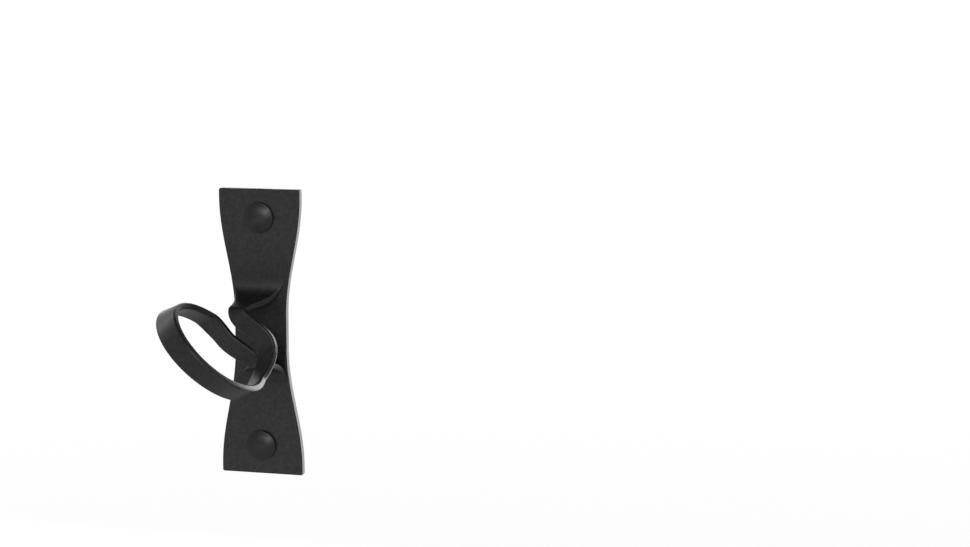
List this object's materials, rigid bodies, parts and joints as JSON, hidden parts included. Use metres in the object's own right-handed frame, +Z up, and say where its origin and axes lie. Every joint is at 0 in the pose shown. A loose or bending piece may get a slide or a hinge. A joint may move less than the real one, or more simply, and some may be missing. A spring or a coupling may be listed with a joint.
{
  "type": "wine rack",
  "caption": "Wall rack for one wine bottle: an upright bow-tie steel plate with a band that loops once round the bottle's neck, wall screws and screw caps.",
  "frame": {"origin": "middle of the back plate's back, on the face of the wall", "axes": "+Z up along the plate, +Y into the wall, +X level along the bottle towards its base"},
  "size_m": [0.0409, 0.1059, 0.1124],
  "materials": {
    "coated_steel": "black satin powder coat",
    "zinc_plated_steel": "bright zinc plate",
    "plug_nylon": "moulded nylon",
    "cap_plastic": "smooth black moulding"
  },
  "bodies": {
    "rack": {"back_plate": "coated_steel", "neck_band": "coated_steel", "upper_screw": "zinc_plated_steel", "lower_screw": "zinc_plated_steel", "upper_wall_plug": "plug_nylon", "lower_wall_plug": "plug_nylon"},
    "upper_cap": {"upper_screw_cap": "cap_plastic"},
    "lower_cap": {"lower_screw_cap": "cap_plastic"}
  },
  "joints": [
    {"name": "upper_cap_pull", "type": "slide", "parent": "rack", "child": "upper_cap", "axis": [0, -1, 0], "range_m": [0, 0.012]},
    {"name": "lower_cap_pull", "type": "slide", "parent": "rack", "child": "lower_cap", "axis": [0, -1, 0], "range_m": [0, 0.012]}
  ]
}
